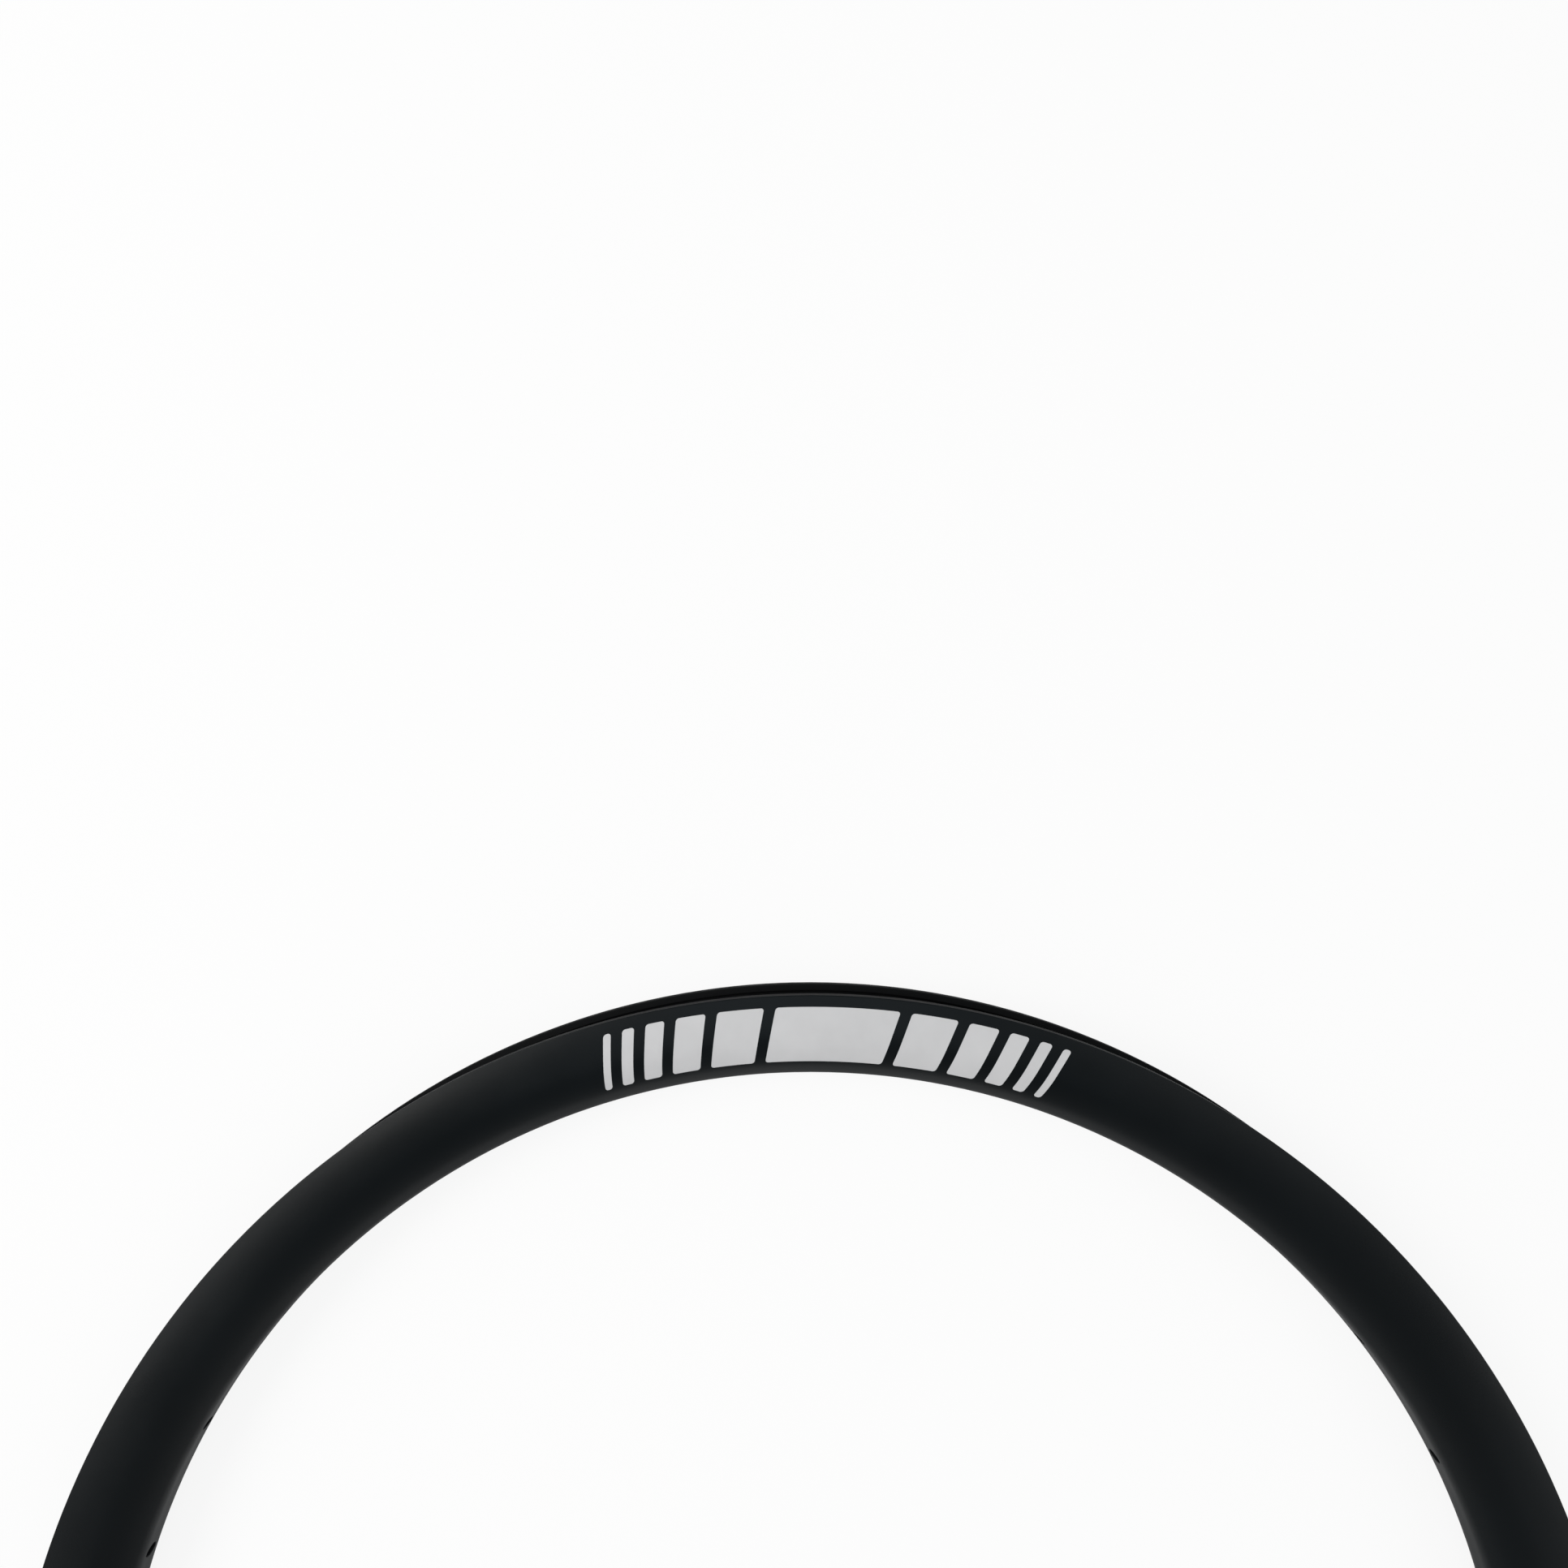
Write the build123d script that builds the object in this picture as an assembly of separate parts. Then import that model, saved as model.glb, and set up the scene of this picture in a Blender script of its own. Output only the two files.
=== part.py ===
from build123d import *
from math import asin, atan2, degrees, sqrt, tan
import os

# A deep hooked bicycle rim, moulded as one hollow ring. Sizes in millimetres.
# It lies flat: the axle line is Z, and the valve hole is on the -Y side.

# Tyre side
BEAD_SEAT_DIAMETER = 622.0  # cylinder that the tyre's beads sit on
BEAD_SEAT_WIDTH = 3.0  # each seat, from the flange to the well
INNER_WIDTH = 21.0  # between the two flanges, above the seats
FLANGE_HEIGHT = 6.0  # from the bead seat out to the rim's edge
FLANGE_THICKNESS = 3.0  # at the rim's edge, without the hook
HOOK_REACH = 0.9  # how far each hook stands in from its flange
HOOK_HEIGHT = 2.6  # straight face of the hook, from the edge down
HOOK_SLOPE = 0.8  # height of the undercut below the hook
EDGE_BREAK = 0.4  # bevel on both corners of each flange's edge
WELL_DEPTH = 3.5  # from the bead seats down to the well's flat floor
WELL_MARGIN = 0.8  # floor left on each side of the access holes

# Outside of the section
WALL_HEIGHT = 16.0  # from the rim's edge in to the widest place
WALL_BULGE = 1.5  # how far each side wall stands out past the edge there
SHOULDER_HEIGHT = 17.2  # from the widest place in to the spoke bed
SPOKE_BED_WIDTH = 10.0  # before its corners are rounded
SPOKE_BED_CORNER = 7.0  # radius of those corners

# Wall thicknesses
SIDE_WALL = 1.1
TYRE_BED_WALL = 1.4
SPOKE_BED_WALL = 2.5

# Holes
SPOKE_COUNT = 32
SPOKE_HOLE_DIAMETER = 5.0
ACCESS_HOLE_DIAMETER = 8.4  # in the tyre bed, for the spoke nipple's head
VALVE_HOLE_DIAMETER = 6.5
VALVE_ANGLE = -90.0  # about Z, from +X
DRILL_CLEARANCE = 1.0  # how far a drill runs past the wall that it cuts

# Radii from the axle line and half widths, worked out from the sizes above
seat_radius = BEAD_SEAT_DIAMETER / 2
edge_radius = seat_radius + FLANGE_HEIGHT
widest_radius = edge_radius - WALL_HEIGHT
bed_radius = widest_radius - SHOULDER_HEIGHT
well_radius = seat_radius - WELL_DEPTH
hook_end_radius = edge_radius - HOOK_HEIGHT
undercut_radius = hook_end_radius - HOOK_SLOPE

half_inner = INNER_WIDTH / 2
half_edge = half_inner + FLANGE_THICKNESS
half_widest = half_edge + WALL_BULGE
half_hook = half_inner - HOOK_REACH
half_well_top = half_inner - BEAD_SEAT_WIDTH
half_well_floor = ACCESS_HOLE_DIAMETER / 2 + WELL_MARGIN
half_bed = SPOKE_BED_WIDTH / 2


def arc_radius(height, offset):
    """Radius of an arc that starts square at the widest place and has this height and side step."""
    return (height**2 + offset**2) / (2 * offset)


# Each side has two such arcs: the wall goes out to the rim's edge, the shoulder in to the spoke bed
wall_arc = arc_radius(WALL_HEIGHT, WALL_BULGE)
wall_center = (widest_radius, half_widest - wall_arc)
shoulder_arc = arc_radius(SHOULDER_HEIGHT, half_widest - half_bed)
shoulder_center = (widest_radius, half_widest - shoulder_arc)


def across(points):
    """The points of one half of an outline, followed by their mirror images on the other half."""
    half = [Vector(point) for point in points]
    return half + [Vector(point.X, -point.Y) for point in reversed(half)]


def outside_face():
    """Section of the rim without its hollow, drawn with x as radius and y as width."""
    wall_turn = degrees(asin(WALL_HEIGHT / wall_arc))
    shoulder_turn = degrees(asin(SHOULDER_HEIGHT / shoulder_arc))
    tyre_side = [
        (edge_radius, half_edge),
        (edge_radius, half_hook),
        (hook_end_radius, half_hook),
        (undercut_radius, half_inner),
        (seat_radius, half_inner),
        (seat_radius, half_well_top),
        (well_radius, half_well_floor),
    ]
    with BuildSketch(Plane.XZ) as section:
        with BuildLine():
            wall = CenterArc(wall_center, wall_arc, 90, -wall_turn)
            shoulder = CenterArc(shoulder_center, shoulder_arc, 90, shoulder_turn)
            mirror([wall, shoulder], about=Plane.XZ)
            Polyline(*across([shoulder @ 1]))
            Polyline(*across(tyre_side))
        make_face()
        fillet(section.vertices().group_by(Axis.X)[0], SPOKE_BED_CORNER)
        chamfer(section.vertices().group_by(Axis.X)[-1], EDGE_BREAK)
    return section.sketch


def hollow_face():
    """The closed space inside, which leaves the side walls and both beds at their thickness."""
    roof_radius = seat_radius - TYRE_BED_WALL
    well_roof_radius = well_radius - TYRE_BED_WALL
    half_rim_at_roof = wall_center[1] + sqrt(wall_arc**2 - (roof_radius - widest_radius) ** 2)
    # The well's slope keeps its thickness if its two corners shift sideways by this much
    slope_turn = atan2(WELL_DEPTH, half_well_top - half_well_floor)
    corner_shift = TYRE_BED_WALL * tan(slope_turn / 2)
    walls_and_roof = [
        (widest_radius, half_widest - SIDE_WALL),
        (roof_radius, half_rim_at_roof - SIDE_WALL),
        (roof_radius, half_well_top + corner_shift),
        (well_roof_radius, half_well_floor + corner_shift),
    ]
    inner_arc = shoulder_arc - SIDE_WALL
    shoulder_turn = degrees(asin((SHOULDER_HEIGHT - SPOKE_BED_WALL) / inner_arc))
    with BuildSketch(Plane.XZ) as section:
        with BuildLine():
            shoulder = CenterArc(shoulder_center, inner_arc, 90, shoulder_turn)
            mirror(shoulder, about=Plane.XZ)
            Polyline(*across([shoulder @ 1]))
            Polyline(*across(walls_and_roof))
        make_face()
    return section.sketch


def radial_drill(diameter, start_radius, end_radius):
    """A drill along +X, from one distance off the axle line out to another."""
    base = (Align.CENTER, Align.CENTER, Align.MIN)
    drill = Cylinder(diameter / 2, end_radius - start_radius, align=base)
    return Pos(start_radius, 0, 0) * Rot(0, 90, 0) * drill


def build_rim():
    """The whole rim: its section turned about the axle line, then drilled."""
    inside = bed_radius - DRILL_CLEARANCE
    outside = seat_radius + DRILL_CLEARANCE
    spoke_drill = radial_drill(SPOKE_HOLE_DIAMETER, inside, widest_radius)
    access_drill = radial_drill(ACCESS_HOLE_DIAMETER, widest_radius, outside)
    valve_drill = radial_drill(VALVE_HOLE_DIAMETER, inside, outside)

    half_pitch = 180 / SPOKE_COUNT
    spoke_places = PolarLocations(0, SPOKE_COUNT, start_angle=VALVE_ANGLE + half_pitch)
    rim = revolve(outside_face() - hollow_face(), Axis.Z)
    rim -= spoke_places * (spoke_drill + access_drill)
    rim -= Rot(0, 0, VALVE_ANGLE) * valve_drill
    return rim


os.makedirs("parts", exist_ok=True)
export_step(build_rim(), "parts/rim.step")
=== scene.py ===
from math import asin, atan2, cos, pi, radians, sin, sqrt, tan

import bmesh
import bpy
from bpy.props import FloatProperty, FloatVectorProperty, IntProperty, PointerProperty
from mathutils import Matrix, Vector


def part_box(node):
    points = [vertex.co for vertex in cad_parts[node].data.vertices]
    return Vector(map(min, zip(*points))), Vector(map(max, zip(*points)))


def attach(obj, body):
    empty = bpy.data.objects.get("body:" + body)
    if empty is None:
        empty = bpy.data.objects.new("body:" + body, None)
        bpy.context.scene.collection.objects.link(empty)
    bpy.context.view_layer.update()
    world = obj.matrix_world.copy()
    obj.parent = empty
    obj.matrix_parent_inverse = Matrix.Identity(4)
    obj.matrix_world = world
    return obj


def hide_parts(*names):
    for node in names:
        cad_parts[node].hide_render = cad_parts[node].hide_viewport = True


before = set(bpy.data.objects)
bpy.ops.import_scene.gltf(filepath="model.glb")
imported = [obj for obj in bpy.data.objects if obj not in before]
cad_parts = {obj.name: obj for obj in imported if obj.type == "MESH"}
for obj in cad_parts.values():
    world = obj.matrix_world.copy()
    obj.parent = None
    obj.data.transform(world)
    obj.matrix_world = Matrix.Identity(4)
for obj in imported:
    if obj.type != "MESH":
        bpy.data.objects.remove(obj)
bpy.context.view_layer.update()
RIM_LOW, RIM_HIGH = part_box("rim")

bl_info = {
    "name": "Bicycle rim",
    "version": (1, 0, 0),
    "blender": (4, 5, 0),
    "location": "View3D > Sidebar > Rim",
    "description": "Turns a deep hollow bicycle rim, lays its print and sets a plain studio",
    "category": "Object",
}

MM = 0.001
SKIN, BED = 0, 1  # finishes of the rim: its walls and spoke bed, and its edges, tyre side and hollow
VALVE_CELL = 0  # place of the valve hole, counted in half pitches of the spoke holes
CRISP_ANGLE = radians(40)  # an edge that turns by more than this isn't shaded smooth


def length(name, description, millimetres):
    """A length that a user may change, in metres."""
    return FloatProperty(
        name=name, description=description, default=millimetres * MM, unit="LENGTH", precision=5
    )


def colour(name, description, default):
    """A colour that a user may change."""
    return FloatVectorProperty(
        name=name, description=description, default=default, size=3, min=0.0, max=1.0, subtype="COLOR"
    )


class RimSizes(bpy.types.PropertyGroup):
    """Sizes and finish of the rim."""

    edge_radius: length("Edge radius", "From the axle line to the rim's edge", RIM_HIGH.x / MM)
    half_widest: length("Half width", "From mid-width to the widest place", RIM_HIGH.z / MM)
    seat_width: length("Bead seat width", "Each seat, from the flange to the well", 3.0)
    flange_height: length("Flange height", "From the bead seat out to the rim's edge", 6.0)
    flange_thickness: length("Flange thickness", "At the rim's edge, without the hook", 3.0)
    hook_reach: length("Hook reach", "How far each hook stands in from its flange", 0.9)
    hook_height: length("Hook height", "Straight face of the hook", 2.6)
    hook_slope: length("Hook slope", "Height of the undercut below the hook", 0.8)
    edge_round: length("Edge rounding", "Radius of both corners of each flange's edge", 0.4)
    well_depth: length("Well depth", "From the bead seats to the well's floor", 3.5)
    well_margin: length("Well margin", "Floor left on each side of the access holes", 0.8)
    wall_height: length("Wall height", "From the rim's edge to the widest place", 16.0)
    wall_bulge: length("Wall bulge", "How far each wall stands out past the edge", 1.5)
    shoulder_height: length("Shoulder height", "From the widest place to the spoke bed", 17.2)
    bed_width: length("Spoke bed width", "Before its corners are rounded", 10.0)
    bed_corner: length("Spoke bed corner", "Radius of the spoke bed's corners", 7.0)
    side_wall: length("Side wall", "Thickness of the side walls", 1.1)
    tyre_bed_wall: length("Tyre bed wall", "Thickness of the tyre bed", 1.4)
    spoke_bed_wall: length("Spoke bed wall", "Thickness of the spoke bed", 2.5)
    spoke_hole: length("Spoke hole", "Diameter of each spoke hole", 5.0)
    access_hole: length("Access hole", "Diameter of each hole in the tyre bed", 8.4)
    valve_hole: length("Valve hole", "Diameter of the valve hole", 6.5)
    hole_break: length("Hole edge", "Bevel on the edges of all holes", 0.25)
    spoke_count: IntProperty(name="Spokes", description="Number of spoke holes", default=32, min=12)
    valve_angle: FloatProperty(
        name="Valve angle",
        description="Place of the valve hole about Z",
        default=radians(270),
        subtype="ANGLE",
    )
    skin_black: colour("Skin", "Satin black of the walls", (0.0015, 0.0031, 0.0041))
    bed_black: colour("Tyre bed", "Dull black of the edges and the tyre side", (0.0050, 0.0056, 0.0062))


class PrintSizes(bpy.types.PropertyGroup):
    """Sizes and colour of the print on the upper wall."""

    inside: length("Inside", "Radius of the print's inner edge", 290.5)
    outside: length("Outside", "Radius of the print's outer edge", 312.5)
    middle: length("Middle field", "Length of the long field in the middle", 48.0)
    first_bar: length("First bar", "Length of the bar next to the middle field", 18.0)
    gap: length("Gap", "Between two fields", 4.5)
    shrink: FloatProperty(
        name="Shrink",
        description="Each bar's length as a share of the last one's",
        default=0.64,
        subtype="FACTOR",
    )
    bars: IntProperty(name="Bars", description="Bars on each side of the middle field", default=5, min=0)
    slant: FloatProperty(
        name="Slant", description="Lean of the fields' ends", default=radians(14), subtype="ANGLE"
    )
    corner: length("Corner", "Radius of the fields' corners", 1.2)
    film: length("Film", "Thickness of the print", 0.06)
    ink: colour("Ink", "Pale grey of the print", (0.63, 0.63, 0.64))


class Studio(bpy.types.PropertyGroup):
    """Camera, lamps and floor."""

    camera_place: FloatVectorProperty(
        name="Camera",
        description="Place of the camera",
        default=(-0.0194, 0.3922, 0.3796),
        size=3,
        subtype="XYZ",
    )
    camera_turn: FloatVectorProperty(
        name="Camera turn",
        description="Turn of the camera away from straight down",
        default=(radians(1.330), radians(0.205), radians(1.386)),
        size=3,
        subtype="EULER",
    )
    lens: FloatProperty(name="Lens", description="Focal length in millimetres", default=21.006, min=1.0)
    floor_size: length("Floor", "Side of the floor", 40000.0)
    floor_white: colour("Floor colour", "Pale floor under the rim", (0.92, 0.92, 0.92))
    room_low: colour("Low light", "Room light near the horizon", (0.53, 0.53, 0.53))
    room_high: colour("High light", "Room light overhead", (0.29, 0.29, 0.29))
    lamp_power: FloatProperty(
        name="Lamps", description="Watts of all lamps together", default=41.5, unit="POWER"
    )
    lamp_size: length("Lamp size", "Side of each soft lamp", 1200.0)
    lamp_distance: length("Lamp distance", "From each lamp to the middle of the rim", 2200.0)


def arc(centre, radius, start, end, steps):
    """Points along an arc, from one angle to another."""
    turns = [start + (end - start) * step / steps for step in range(steps + 1)]
    return [Vector((centre[0] + radius * cos(turn), centre[1] + radius * sin(turn))) for turn in turns]


def rounded(corners, radius, steps):
    """An open line with all its inner corners rounded."""
    points = [Vector(corners[0])]
    for before, corner, after in zip(corners, corners[1:], corners[2:]):
        corner = Vector(corner)
        back = (Vector(before) - corner).normalized()
        ahead = (Vector(after) - corner).normalized()
        half_angle = back.angle(ahead) / 2
        centre = corner + (back + ahead).normalized() * (radius / sin(half_angle))
        reach = radius / tan(half_angle)
        first = corner + back * reach - centre
        turn = first.angle_signed(corner + ahead * reach - centre)
        start = atan2(first.y, first.x)
        points += arc(centre, radius, start, start - turn, steps)
    return points + [Vector(corners[-1])]


def level(radius):
    """A surface at one distance from the axle line."""
    return lambda height: radius


def band(surface, half_width, rows):
    """Points straight across the rim on a surface, which gives its radius at each height."""
    heights = [half_width * (2 * row / rows - 1) for row in range(rows + 1)]
    return [Vector((surface(height), height)) for height in heights]


class Section:
    """The rim's section, with x as radius and y as half width, worked out from its sizes."""

    # Rows across the field round a hole, and steps along each curve
    patch_rows = 8
    corner_steps = 6
    shoulder_steps = 8
    wall_steps = 6
    edge_steps = 4
    inner_steps = 2
    hollow_steps = 4
    inner_round = 0.3 * MM  # rounding of the undercut, the seats and the well

    def __init__(self, sizes):
        self.sizes = sizes
        self.edge = sizes.edge_radius
        self.seat = self.edge - sizes.flange_height
        self.widest = self.edge - sizes.wall_height
        self.bed = self.widest - sizes.shoulder_height
        self.well = self.seat - sizes.well_depth
        self.floor = self.bed + sizes.spoke_bed_wall
        self.roof = self.seat - sizes.tyre_bed_wall
        self.well_roof = self.well - sizes.tyre_bed_wall
        self.half_widest = sizes.half_widest
        self.half_edge = self.half_widest - sizes.wall_bulge
        self.half_inner = self.half_edge - sizes.flange_thickness
        self.half_well = sizes.access_hole / 2 + sizes.well_margin
        self.half_well_top = self.half_inner - sizes.seat_width
        self.wall_arc = self.arc_radius(sizes.wall_height, sizes.wall_bulge)
        self.shoulder_arc = self.arc_radius(sizes.shoulder_height, self.half_widest - sizes.bed_width / 2)
        self.wall_middle = self.half_widest - self.wall_arc
        self.shoulder_middle = self.half_widest - self.shoulder_arc
        # The spoke bed's corner touches the bed and the shoulder from inside
        corner_rise = sizes.shoulder_height - sizes.bed_corner
        reach = self.shoulder_arc - sizes.bed_corner
        self.corner_turn = asin(corner_rise / reach)
        self.half_land = self.shoulder_middle + reach * cos(self.corner_turn)
        self.half_bed_band = max(self.half_land, self.half_patch(sizes.valve_hole))

    @staticmethod
    def arc_radius(height, offset):
        """Radius of an arc that starts square at the widest place."""
        return (height**2 + offset**2) / (2 * offset)

    def bed_surface(self, height):
        """Radius of the spoke bed: level in the middle, and rising in its round corners."""
        corner = self.sizes.bed_corner
        return self.bed + corner - sqrt(corner**2 - max(0.0, abs(height) - self.half_land) ** 2)

    def half_width(self, radius):
        """Half width of the rim's outside at a radius on its wall or shoulder."""
        if radius > self.widest:
            return self.wall_middle + sqrt(self.wall_arc**2 - (radius - self.widest) ** 2)
        return self.shoulder_middle + sqrt(self.shoulder_arc**2 - (radius - self.widest) ** 2)

    def outside_side(self):
        """One side of the outside, from the spoke bed to the well, and where its tyre side starts."""
        sizes = self.sizes
        corner_centre = (self.bed + sizes.bed_corner, self.half_land)
        corner_start = pi - asin((self.half_bed_band - self.half_land) / sizes.bed_corner)
        corner_end = pi / 2 + self.corner_turn
        side = arc(corner_centre, sizes.bed_corner, corner_start, corner_end, self.corner_steps)[1:]
        shoulder_centre = (self.widest, self.shoulder_middle)
        side += arc(shoulder_centre, self.shoulder_arc, corner_end, pi / 2, self.shoulder_steps)[1:]
        wall_centre = (self.widest, self.wall_middle)
        wall_end = pi / 2 - asin((sizes.wall_height - sizes.edge_round) / self.wall_arc)
        side += arc(wall_centre, self.wall_arc, pi / 2, wall_end, self.wall_steps)[1:]
        tyre_side = len(side) + self.edge_steps
        half_hook = self.half_inner - sizes.hook_reach
        hook_end = self.edge - sizes.hook_height
        flange = [side[-1], (self.edge, self.half_edge), (self.edge, half_hook), (hook_end, half_hook)]
        side += rounded(flange, sizes.edge_round, self.edge_steps)[1:]
        seat_and_well = [
            side[-1],
            (hook_end - sizes.hook_slope, self.half_inner),
            (self.seat, self.half_inner),
            (self.seat, self.half_well_top),
            (self.well, self.half_well),
            (self.well, self.half_patch(sizes.access_hole)),
        ]
        side += rounded(seat_and_well, self.inner_round, self.inner_steps)[1:-1]
        return side, tyre_side

    def hollow_side(self):
        """One side of the hollow, from the spoke bed to the well's underside."""
        sizes = self.sizes
        inner = self.shoulder_arc - sizes.side_wall
        turn = asin((sizes.shoulder_height - sizes.spoke_bed_wall) / inner)
        shoulder_centre = (self.widest, self.shoulder_middle)
        side = arc(shoulder_centre, inner, pi / 2 + turn, pi / 2, self.hollow_steps)
        # The well's slope keeps its thickness if its two corners shift sideways by this much
        slope = atan2(sizes.well_depth, self.half_well_top - self.half_well)
        shift = sizes.tyre_bed_wall * tan(slope / 2)
        side.append(Vector((self.roof, self.half_width(self.roof) - sizes.side_wall)))
        side.append(Vector((self.roof, self.half_well_top + shift)))
        side.append(Vector((self.well_roof, self.half_well + shift)))
        return side

    def half_patch(self, hole):
        """Half width of the square field round a hole."""
        return hole / 2 + self.sizes.well_margin / 2

    def loop(self, first_band, side, last_band):
        """A closed outline: a band, one side, the other band, and the side's mirror image."""
        mirrored = [Vector((point.x, -point.y)) for point in reversed(side)]
        return first_band + side + last_band[::-1] + mirrored

    def loops(self):
        """The outside and the hollow, each with the row where its second band starts.

        The outside also has the place in its side where the tyre side starts.
        """
        rows = self.patch_rows
        half_bed = self.half_bed_band
        half_well = self.half_patch(self.sizes.access_hole)
        side, tyre_side = self.outside_side()
        outside = self.loop(
            band(self.bed_surface, half_bed, rows), side, band(level(self.well), half_well, rows)
        )
        hollow_side = self.hollow_side()
        hollow = self.loop(
            band(level(self.floor), half_bed, rows),
            hollow_side,
            band(level(self.well_roof), half_well, rows),
        )
        return (outside, rows + 1 + len(side), tyre_side), (hollow, rows + 1 + len(hollow_side))


class Ring:
    """Carries closed outlines round the axle line and opens round holes in them."""

    # Columns across the field round a hole, on each side of it, and where there is no hole
    patch_columns = 8
    side_columns = 2
    plain_columns = 4

    def __init__(self, section):
        self.section = section
        self.points = []
        self.faces = []
        self.finishes = []
        self.angles = []
        self.patches = {}
        sizes = section.sizes
        cells = 2 * sizes.spoke_count
        cell = 2 * pi / cells
        patch = section.half_patch(sizes.access_hole) / section.well
        # Cells are half a pitch wide: the first has the valve hole, and every second one a spoke hole
        for index in range(cells):
            middle = sizes.valve_angle + index * cell
            if index == VALVE_CELL or index % 2 == 1:
                self.patches[index] = len(self.angles) + self.side_columns
                stops = [
                    (-cell / 2, -patch, self.side_columns),
                    (-patch, patch, self.patch_columns),
                    (patch, cell / 2, self.side_columns),
                ]
            else:
                stops = [(-cell / 2, cell / 2, self.plain_columns)]
            for start, end, count in stops:
                self.angles += [middle + start + (end - start) * step / count for step in range(count)]
        self.cell = cell

    def add_face(self, corners, finish):
        """Adds one face and its finish."""
        self.faces.append(corners)
        self.finishes.append(finish)

    def add_loop(self, outline, bands, finish_of):
        """Adds one outline all round, without the fields that the holes take. Returns its first point."""
        first = len(self.points)
        columns = len(self.angles)
        rows = len(outline)
        for point in outline:
            self.points += [(point.x * cos(turn), point.x * sin(turn), point.y) for turn in self.angles]
        open_rows = {start + row for start in bands for row in range(Section.patch_rows)}
        patch_steps = range(self.patch_columns)
        open_columns = {start + step for start in self.patches.values() for step in patch_steps}
        for row in range(rows):
            above = (row + 1) % rows
            for column in range(columns):
                if row in open_rows and column in open_columns:
                    continue
                beside = (column + 1) % columns
                self.add_face(
                    (first + row * columns + column, first + row * columns + beside,
                     first + above * columns + beside, first + above * columns + column),
                    finish_of(row),
                )
        return first

    def join(self, ring, other, finish):
        """Closes the strip between two rings of points."""
        for step in range(len(ring)):
            after = (step + 1) % len(ring)
            self.add_face((ring[step], ring[after], other[after], other[step]), finish)

    def circle(self, angle, hole_radius, surface, sink):
        """A ring of points where a radial hole of that radius meets a surface, sunk by some depth."""
        count = 2 * (self.patch_columns + Section.patch_rows)
        first = len(self.points)
        # The ring starts at the same corner as the border of the field that it is joined to
        first_corner = -3 * pi / 4
        for step in range(count):
            turn = 2 * pi * step / count + first_corner
            across, height = hole_radius * cos(turn), hole_radius * sin(turn)
            out = sqrt((surface(height) + sink) ** 2 - across**2)
            self.points.append(
                (out * cos(angle) - across * sin(angle), out * sin(angle) + across * cos(angle), height)
            )
        return list(range(first, first + count))

    def open_mouth(self, first, band_row, rising, index, hole_radius, surface, into, finish):
        """Fills the field round a hole's mouth. Returns the ring of points where the hole's wall starts.

        The band's rows run upward if it is rising. The hole runs outward from the surface where into
        is 1, and inward where it is -1.
        """
        columns = len(self.angles)
        rows = list(range(band_row, band_row + Section.patch_rows + 1))
        if not rising:
            rows.reverse()
        start = self.patches[index]
        across = list(range(start, start + self.patch_columns + 1))
        border = [(rows[0], column) for column in across[:-1]]
        border += [(row, across[-1]) for row in rows[:-1]]
        border += [(rows[-1], column) for column in across[:0:-1]]
        border += [(row, across[0]) for row in rows[:0:-1]]
        outer = [first + row * columns + column % columns for row, column in border]
        angle = self.section.sizes.valve_angle + index * self.cell
        edge = self.section.sizes.hole_break
        lip = self.circle(angle, hole_radius + edge, surface, 0.0)
        mouth = self.circle(angle, hole_radius, surface, into * edge)
        self.join(outer, lip, finish)
        self.join(lip, mouth, finish)
        return mouth

    def mesh(self, name):
        """The finished mesh, closed and with its faces turned outward."""
        mesh = bpy.data.meshes.new(name)
        mesh.from_pydata(self.points, [], self.faces)
        mesh.polygons.foreach_set("material_index", self.finishes)
        shape = bmesh.new()
        shape.from_mesh(mesh)
        loose = [point for point in shape.verts if not point.link_faces]
        bmesh.ops.delete(shape, geom=loose, context="VERTS")
        bmesh.ops.recalc_face_normals(shape, faces=shape.faces)
        open_edges = sum(not edge.is_manifold for edge in shape.edges)
        shape.to_mesh(mesh)
        shape.free()
        if open_edges:
            raise RuntimeError(f"{name} has {open_edges} open edges")
        mesh.shade_smooth()
        mesh.set_sharp_from_angle(angle=CRISP_ANGLE)
        return mesh


class Value:
    """One output in a material's nodes, with Python's operators for sums."""

    def __init__(self, paint, socket):
        self.paint = paint
        self.socket = socket

    def maths(self, operation, first, second):
        """Adds a Math node for one operation."""
        return self.paint.add("ShaderNodeMath", {"operation": operation}, {0: first, 1: second})

    def __add__(self, other):
        return self.maths("ADD", self, other)

    __radd__ = __add__

    def __sub__(self, other):
        return self.maths("SUBTRACT", self, other)

    def __rsub__(self, other):
        return self.maths("SUBTRACT", other, self)

    def __mul__(self, other):
        return self.maths("MULTIPLY", self, other)

    __rmul__ = __mul__


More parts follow.
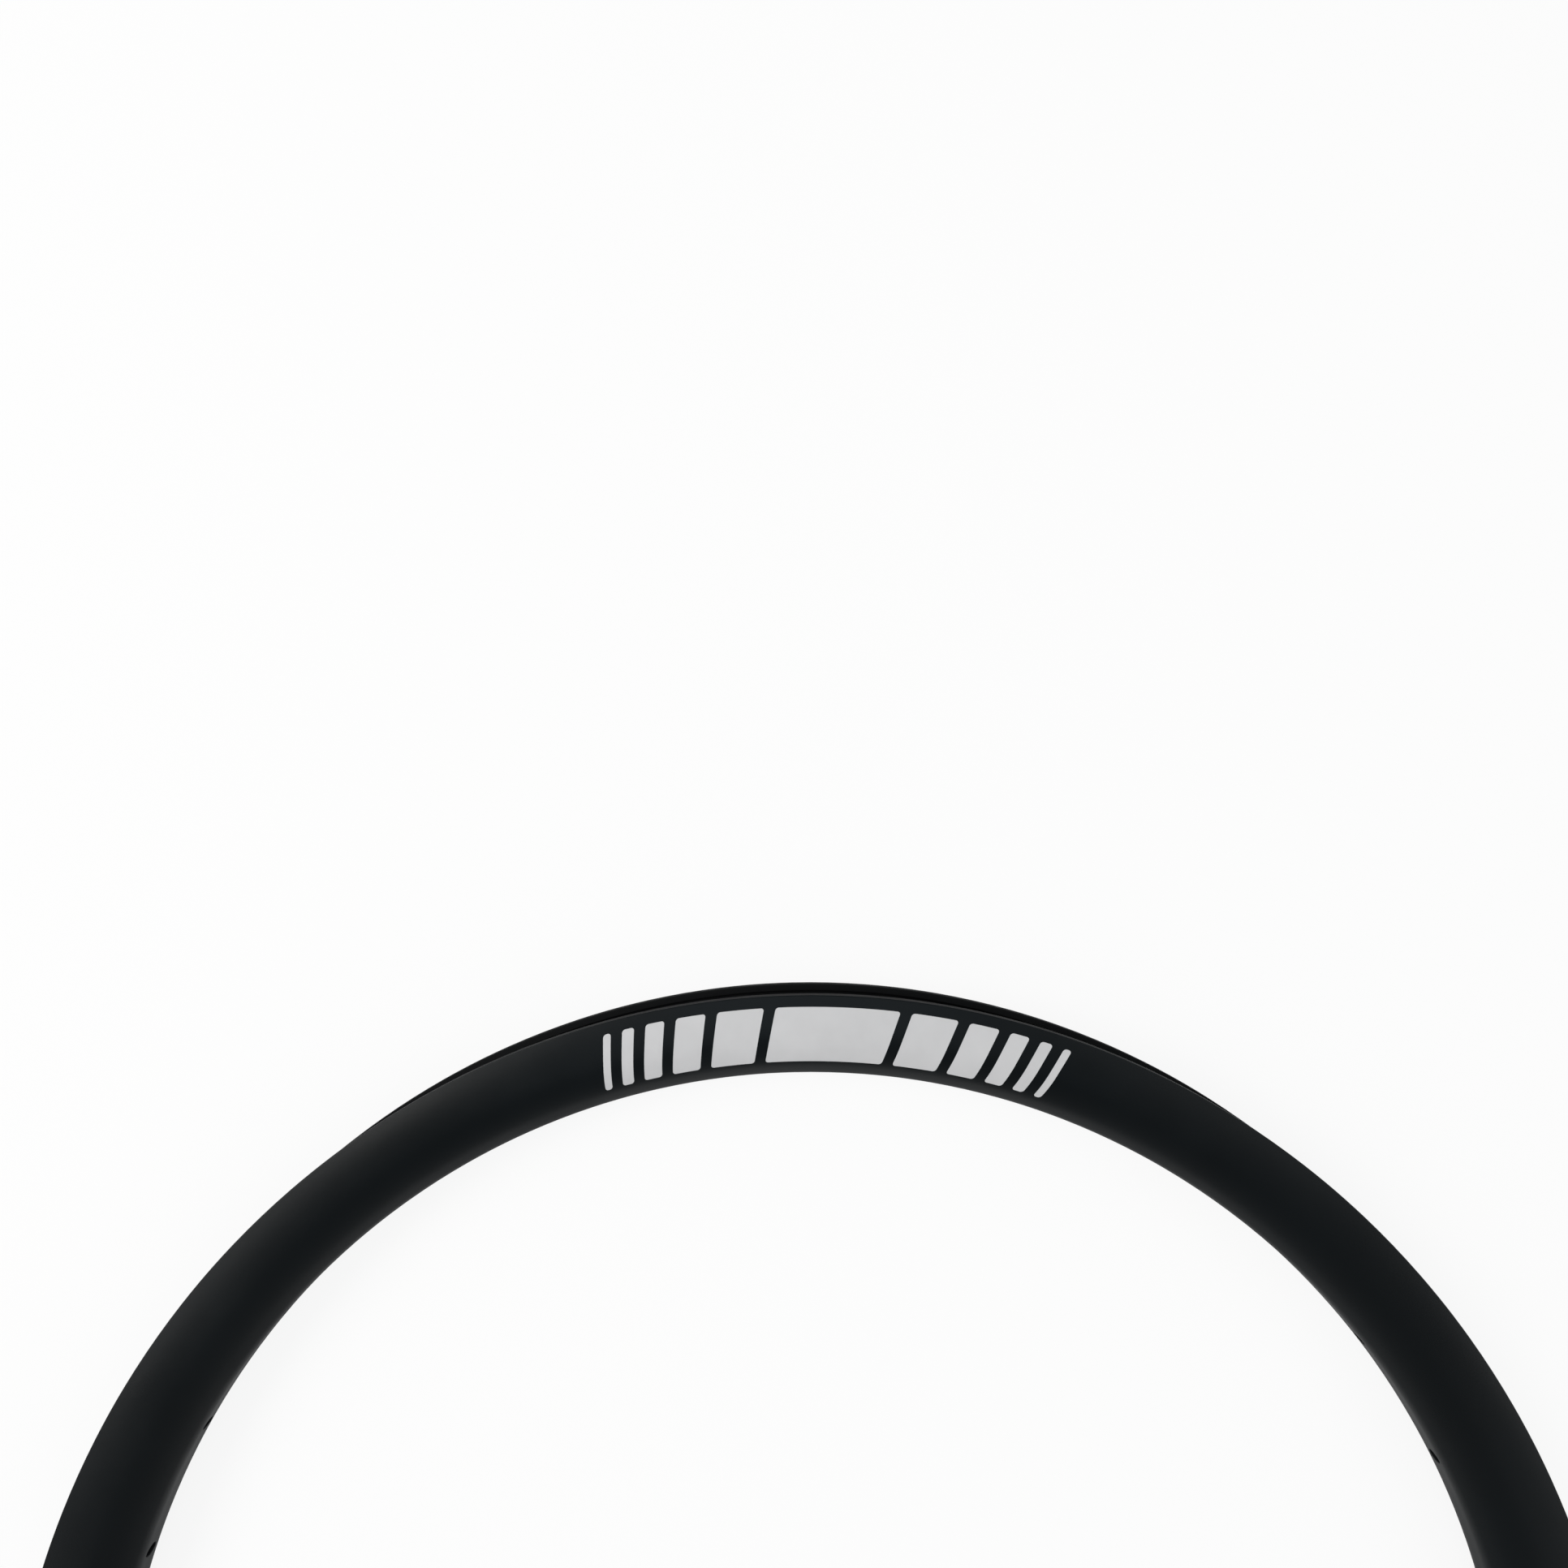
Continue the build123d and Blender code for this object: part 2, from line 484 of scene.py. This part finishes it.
class Paint:
    """A set of shader nodes: a material's, or the world's."""

    def __init__(self, holder):
        holder.use_nodes = True
        self.tree = holder.node_tree
        self.tree.nodes.clear()

    def add(self, kind, settings, inputs, output=0):
        """Adds a node with its settings and its inputs' values or links, and returns one of its outputs."""
        node = self.tree.nodes.new(kind)
        for name, setting in settings.items():
            setattr(node, name, setting)
        for name, value in inputs.items():
            if isinstance(value, Value):
                self.tree.links.new(value.socket, node.inputs[name])
            else:
                node.inputs[name].default_value = value
        return Value(self, node.outputs[output]) if node.outputs else None

    def place(self):
        """Where a point of the surface is, from the piece's origin."""
        return self.add("ShaderNodeTexCoord", {}, {}, output="Object")

    def noise(self, place, scale, detail):
        """Soft noise with the given number of waves to the metre."""
        return self.add("ShaderNodeTexNoise", {}, {"Vector": place, "Scale": scale, "Detail": detail})

    def radius(self, place):
        """How far a place is from the axle line."""
        flat = self.add("ShaderNodeVectorMath", {"operation": "MULTIPLY"}, {0: place, 1: (1.0, 1.0, 0.0)})
        return self.add("ShaderNodeVectorMath", {"operation": "LENGTH"}, {0: flat}, output="Value")

    def blend(self, share, first, second):
        """A colour between two."""
        # The Mix node has sockets for every kind of data: inputs 6 and 7 and output 2 are for colours
        return self.add(
            "ShaderNodeMix", {"data_type": "RGBA"}, {"Factor": share, 6: first, 7: second}, output=2
        )

    def ramp(self, value, low, high):
        """A smooth step from 0 to 1 between two levels."""
        return self.add(
            "ShaderNodeMapRange", {"interpolation_type": "SMOOTHSTEP"},
            {"Value": value, "From Min": low, "From Max": high},
        )

    def bump(self, height, strength, depth):
        """A surface normal that follows small heights."""
        return self.add("ShaderNodeBump", {}, {"Height": height, "Strength": strength, "Distance": depth})

    def surface(self, shader, kind="ShaderNodeOutputMaterial"):
        """Ends the nodes in a surface."""
        self.add(kind, {}, {"Surface": shader})

    def finish(self, tone, roughness, normal, gloss):
        """Ends the nodes in a finish, which mirrors as strongly as its gloss."""
        self.surface(self.add(
            "ShaderNodeBsdfPrincipled", {},
            {"Base Color": tone, "Roughness": roughness, "Normal": normal, "Specular IOR Level": gloss},
        ))


def rgba(values, strength=1.0):
    """A colour at full cover, brighter or darker by its strength."""
    return (values[0] * strength, values[1] * strength, values[2] * strength, 1.0)


def skin_finish(section):
    """Satin black with a fine grain, a soft ripple, clouds and wiped patches, and a duller spoke bed."""
    sizes = section.sizes
    material = bpy.data.materials.new("satin_skin")
    paint = Paint(material)
    place = paint.place()
    clouds = paint.noise(place, scale=22.0, detail=3.0)
    wiped = paint.ramp(paint.noise(place, scale=11.0, detail=5.0), low=0.52, high=0.68)
    ripple = paint.noise(place, scale=300.0, detail=1.0)
    grain = paint.noise(place, scale=1500.0, detail=2.0)
    corner_start = section.bed + 0.2 * sizes.bed_corner
    corner_end = section.bed + sizes.bed_corner
    walls = paint.ramp(paint.radius(place), low=corner_start, high=corner_end)
    tone = paint.blend(clouds, rgba(sizes.skin_black, 0.75), rgba(sizes.skin_black, 1.3))
    roughness = 0.22 + 0.1 * clouds + 0.06 * grain + 0.06 * wiped + 0.25 * (1 - walls)
    normal = paint.bump(0.6 * ripple + 0.4 * grain, strength=0.3, depth=0.08 * MM)
    paint.finish(tone, roughness, normal, gloss=0.16)
    return material


def bed_finish(sizes):
    """Dull black, trimmed at the edges and bare from the mould between them, with a coarser grain."""
    material = bpy.data.materials.new("moulded_bed")
    paint = Paint(material)
    place = paint.place()
    clouds = paint.noise(place, scale=60.0, detail=4.0)
    grain = paint.noise(place, scale=700.0, detail=3.0)
    tone = paint.blend(clouds, rgba(sizes.bed_black, 0.6), rgba(sizes.bed_black, 1.4))
    roughness = 0.66 + 0.2 * clouds
    normal = paint.bump(grain, strength=0.45, depth=0.12 * MM)
    paint.finish(tone, roughness, normal, gloss=0.12)
    return material


def ink_finish(sizes):
    """Pale ink with a faint unevenness and a soft sheen."""
    material = bpy.data.materials.new("pale_ink")
    paint = Paint(material)
    place = paint.place()
    clouds = paint.noise(place, scale=90.0, detail=4.0)
    grain = paint.noise(place, scale=1800.0, detail=1.0)
    tone = paint.blend(clouds, rgba(sizes.ink, 0.93), rgba(sizes.ink, 1.07))
    roughness = 0.42 + 0.12 * grain
    normal = paint.bump(grain, strength=0.06, depth=0.03 * MM)
    paint.finish(tone, roughness, normal, gloss=0.3)
    return material


def place_mesh(name, mesh, *materials):
    """A new object in the scene, with its finishes."""
    for material in materials:
        mesh.materials.append(material)
    piece = bpy.data.objects.new(name, mesh)
    bpy.context.scene.collection.objects.link(piece)
    return piece


class RIM_OT_ring(bpy.types.Operator):
    """Turn the hollow ring, with its spoke, access and valve holes"""

    bl_idname = "rim.ring"
    bl_label = "Rim"

    def execute(self, context):
        sizes = context.scene.rim_sizes
        section = Section(sizes)
        ring = Ring(section)
        (outside, well_row, tyre_side), (hollow, roof_row) = section.loops()
        # The tyre side lies between the outer corners of the two flanges' edges
        first_tyre_row = Section.patch_rows + 1 + tyre_side
        last_tyre_row = len(outside) - 2 - tyre_side

        def outside_finish(row):
            return BED if first_tyre_row <= row <= last_tyre_row else SKIN

        outer = ring.add_loop(outside, (0, well_row), outside_finish)
        inner = ring.add_loop(hollow, (0, roof_row), lambda row: BED)
        for index in ring.patches:
            spoke, access = sizes.spoke_hole / 2, sizes.access_hole / 2
            if index == VALVE_CELL:
                spoke = access = sizes.valve_hole / 2
            mouth = ring.open_mouth(outer, 0, True, index, spoke, section.bed_surface, 1, SKIN)
            end = ring.open_mouth(inner, 0, True, index, spoke, level(section.floor), -1, BED)
            ring.join(mouth, end, BED)
            mouth = ring.open_mouth(outer, well_row, False, index, access, level(section.well), -1, BED)
            end = ring.open_mouth(inner, roof_row, False, index, access, level(section.well_roof), 1, BED)
            ring.join(mouth, end, BED)
        piece = place_mesh("rim_ring", ring.mesh("rim_ring"), skin_finish(section), bed_finish(sizes))
        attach(piece, "root")
        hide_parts("rim")
        return {"FINISHED"}


class RIM_OT_print(bpy.types.Operator):
    """Lay the pale print on the upper wall, as plain slanted fields"""

    bl_idname = "rim.print"
    bl_label = "Print"

    # Rows between a field's corners and in each corner, and the length and least number of its columns
    rows = 10
    corner_rows = 5
    step = 2.0 * MM
    fewest_columns = 2
    corner_limit = 0.8  # largest corner of a short field, as a share of half its length

    def execute(self, context):
        sizes = context.scene.rim_print
        section = Section(context.scene.rim_sizes)
        fields = [(-sizes.middle / 2, sizes.middle / 2)]
        start, size = sizes.middle / 2 + sizes.gap, sizes.first_bar
        for _ in range(sizes.bars):
            fields += [(start, start + size), (-start - size, -start)]
            start += size + sizes.gap
            size *= sizes.shrink
        shape = bmesh.new()
        for low, high in fields:
            self.add_field(shape, section, sizes, low, high)
        bmesh.ops.recalc_face_normals(shape, faces=shape.faces)
        mesh = bpy.data.meshes.new("wall_print")
        shape.to_mesh(mesh)
        shape.free()
        mesh.shade_smooth()
        mesh.set_sharp_from_angle(angle=CRISP_ANGLE)
        piece = place_mesh("wall_print", mesh, ink_finish(sizes))
        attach(piece, "root")
        return {"FINISHED"}

    def field_rows(self, sizes, half_length):
        """Rows of a field, from its inner edge out, each with how far its ends draw in at the corners."""
        corner = min(sizes.corner, half_length * self.corner_limit)
        turns = [pi / 2 * row / self.corner_rows for row in range(self.corner_rows)]
        ends = [(corner * (1 - cos(turn)), corner * (1 - sin(turn))) for turn in turns]
        height = sizes.outside - sizes.inside
        plain = [(corner + (height - 2 * corner) * row / self.rows, 0.0) for row in range(self.rows + 1)]
        return ends + plain + [(height - rise, inset) for rise, inset in reversed(ends)]

    def add_field(self, shape, section, sizes, low, high):
        """Adds one thin closed field that follows the wall, between two places along the rim."""
        middle = (sizes.inside + sizes.outside) / 2
        columns = max(self.fewest_columns, round((high - low) / self.step))
        layers = []
        for lift in (0.0, sizes.film):
            grid = []
            for rise, inset in self.field_rows(sizes, (high - low) / 2):
                radius = sizes.inside + rise
                lean = (radius - middle) * tan(sizes.slant)
                height = section.half_width(radius) + lift
                line = []
                for column in range(columns + 1):
                    along = low + inset + (high - low - 2 * inset) * column / columns + lean
                    turn = along / middle
                    line.append(shape.verts.new((radius * sin(turn), radius * cos(turn), height)))
                grid.append(line)
            layers.append(grid)
        for grid in layers:
            for line, above in zip(grid, grid[1:]):
                for column in range(columns):
                    shape.faces.new((line[column], line[column + 1], above[column + 1], above[column]))
        # A thin wall all round joins the borders of the two layers
        borders = []
        for grid in layers:
            border = list(grid[0][:-1]) + [line[-1] for line in grid[:-1]]
            border += grid[-1][:0:-1] + [line[0] for line in grid[:0:-1]]
            borders.append(border)
        for index in range(len(borders[0])):
            after = (index + 1) % len(borders[0])
            shape.faces.new((borders[0][index], borders[0][after], borders[1][after], borders[1][index]))


class RIM_OT_stage(bpy.types.Operator):
    """Set the pale floor, the soft lamps, the room light and the camera"""

    bl_idname = "rim.stage"
    bl_label = "Stage"

    # Share of plain white in the floor's look, near the rim and far off, where it passes into the room
    near_white = 0.88
    far_white = 0.24
    # Radii between which the one share passes into the other
    fade_start = 900 * MM
    fade_end = 6000 * MM
    camera_near = 10 * MM  # nearest that the camera sees
    # Each lamp's turn about Z and rise in degrees, its share of the power, and its tint
    lamps = {
        "left_lamp": (155, 45, 0.467, (1.0, 0.98, 0.95)),
        "low_left_lamp": (180, 32, 0.187, (1.0, 0.99, 0.98)),
        "right_lamp": (25, 45, 0.105, (1.0, 1.0, 0.99)),
        "low_right_lamp": (0, 20, 0.133, (1.0, 1.0, 0.99)),
        "top_lamp": (90, 80, 0.108, (0.82, 0.93, 1.0)),
    }

    def execute(self, context):
        studio = context.scene.rim_studio
        context.scene.view_settings.view_transform = "Standard"
        self.add_floor(studio)
        self.add_room(context.scene, studio)
        for name, settings in self.lamps.items():
            self.add_lamp(studio, name, *settings)
        self.add_camera(context.scene, studio)
        return {"FINISHED"}

    @staticmethod
    def ray(paint, kind):
        """1 for light rays of one kind, else 0."""
        return paint.add("ShaderNodeLightPath", {}, {}, output=f"Is {kind} Ray")

    def add_floor(self, studio):
        """Adds a floor that looks white to the camera and in reflections, and keeps the rim's shadow."""
        half = studio.floor_size / 2
        outline = [(-half, -half), (half, -half), (half, half), (-half, half)]
        mesh = bpy.data.meshes.new("floor")
        mesh.from_pydata([(x, y, RIM_LOW.z) for x, y in outline], [], [(0, 1, 2, 3)])
        material = bpy.data.materials.new("pale_floor")
        paint = Paint(material)
        seen = self.ray(paint, "Camera") + self.ray(paint, "Glossy") + self.ray(paint, "Transmission")
        far = paint.ramp(paint.radius(paint.place()), self.fade_start, self.fade_end)
        share = seen * (self.near_white + (self.far_white - self.near_white) * far)
        lit = paint.add("ShaderNodeBsdfDiffuse", {}, {"Color": rgba(studio.floor_white)})
        white = paint.add("ShaderNodeEmission", {}, {"Color": (1.0, 1.0, 1.0, 1.0), "Strength": 1.0})
        paint.surface(paint.add("ShaderNodeMixShader", {}, {0: share, 1: lit, 2: white}))
        place_mesh("floor", mesh, material)

    def add_room(self, scene, studio):
        """Lights the scene from all round, more near the horizon than overhead."""
        scene.world = bpy.data.worlds.new("room")
        paint = Paint(scene.world)
        direction = paint.add("ShaderNodeTexCoord", {}, {}, output="Generated")
        height = paint.add("ShaderNodeSeparateXYZ", {}, {"Vector": direction}, output="Z")
        light = paint.blend(height, rgba(studio.room_low), rgba(studio.room_high))
        paint.surface(paint.add("ShaderNodeBackground", {}, {"Color": light}), "ShaderNodeOutputWorld")

    def add_lamp(self, studio, name, turn, rise, share, tint):
        """Adds one soft lamp, which faces the middle of the rim and stays out of the picture."""
        lamp = bpy.data.lights.new(name, "AREA")
        lamp.shape = "SQUARE"
        lamp.size = studio.lamp_size
        lamp.energy = studio.lamp_power * share
        lamp.color = tint
        turn, rise = radians(turn), radians(rise)
        toward = Vector((cos(turn) * cos(rise), sin(turn) * cos(rise), sin(rise)))
        holder = bpy.data.objects.new(name, lamp)
        holder.location = toward * studio.lamp_distance
        holder.rotation_euler = (-toward).to_track_quat("-Z", "Y").to_euler()
        holder.visible_camera = False
        bpy.context.scene.collection.objects.link(holder)

    def add_camera(self, scene, studio):
        """Adds the camera, which looks down on the print's half of the rim."""
        view = bpy.data.cameras.new("camera")
        view.lens = studio.lens
        view.clip_start = self.camera_near
        holder = bpy.data.objects.new("camera", view)
        holder.location = studio.camera_place
        holder.rotation_euler = studio.camera_turn
        scene.collection.objects.link(holder)
        scene.camera = holder


class RIM_PT_panel(bpy.types.Panel):
    """The rim's steps, in the order they are made"""

    bl_idname = "RIM_PT_panel"
    bl_label = "Bicycle rim"
    bl_space_type = "VIEW_3D"
    bl_region_type = "UI"
    bl_category = "Rim"

    def draw(self, context):
        for step in (RIM_OT_ring, RIM_OT_print, RIM_OT_stage):
            self.layout.operator(step.bl_idname)


CLASSES = (RimSizes, PrintSizes, Studio, RIM_OT_ring, RIM_OT_print, RIM_OT_stage, RIM_PT_panel)


def register():
    for entry in CLASSES:
        bpy.utils.register_class(entry)
    bpy.types.Scene.rim_sizes = PointerProperty(type=RimSizes)
    bpy.types.Scene.rim_print = PointerProperty(type=PrintSizes)
    bpy.types.Scene.rim_studio = PointerProperty(type=Studio)


def unregister():
    del bpy.types.Scene.rim_studio
    del bpy.types.Scene.rim_print
    del bpy.types.Scene.rim_sizes
    for entry in reversed(CLASSES):
        bpy.utils.unregister_class(entry)


def main():
    """Makes the rim, its print and the stage."""
    register()
    bpy.ops.rim.ring()
    bpy.ops.rim.print()
    bpy.ops.rim.stage()


if __name__ == "__main__":
    main()
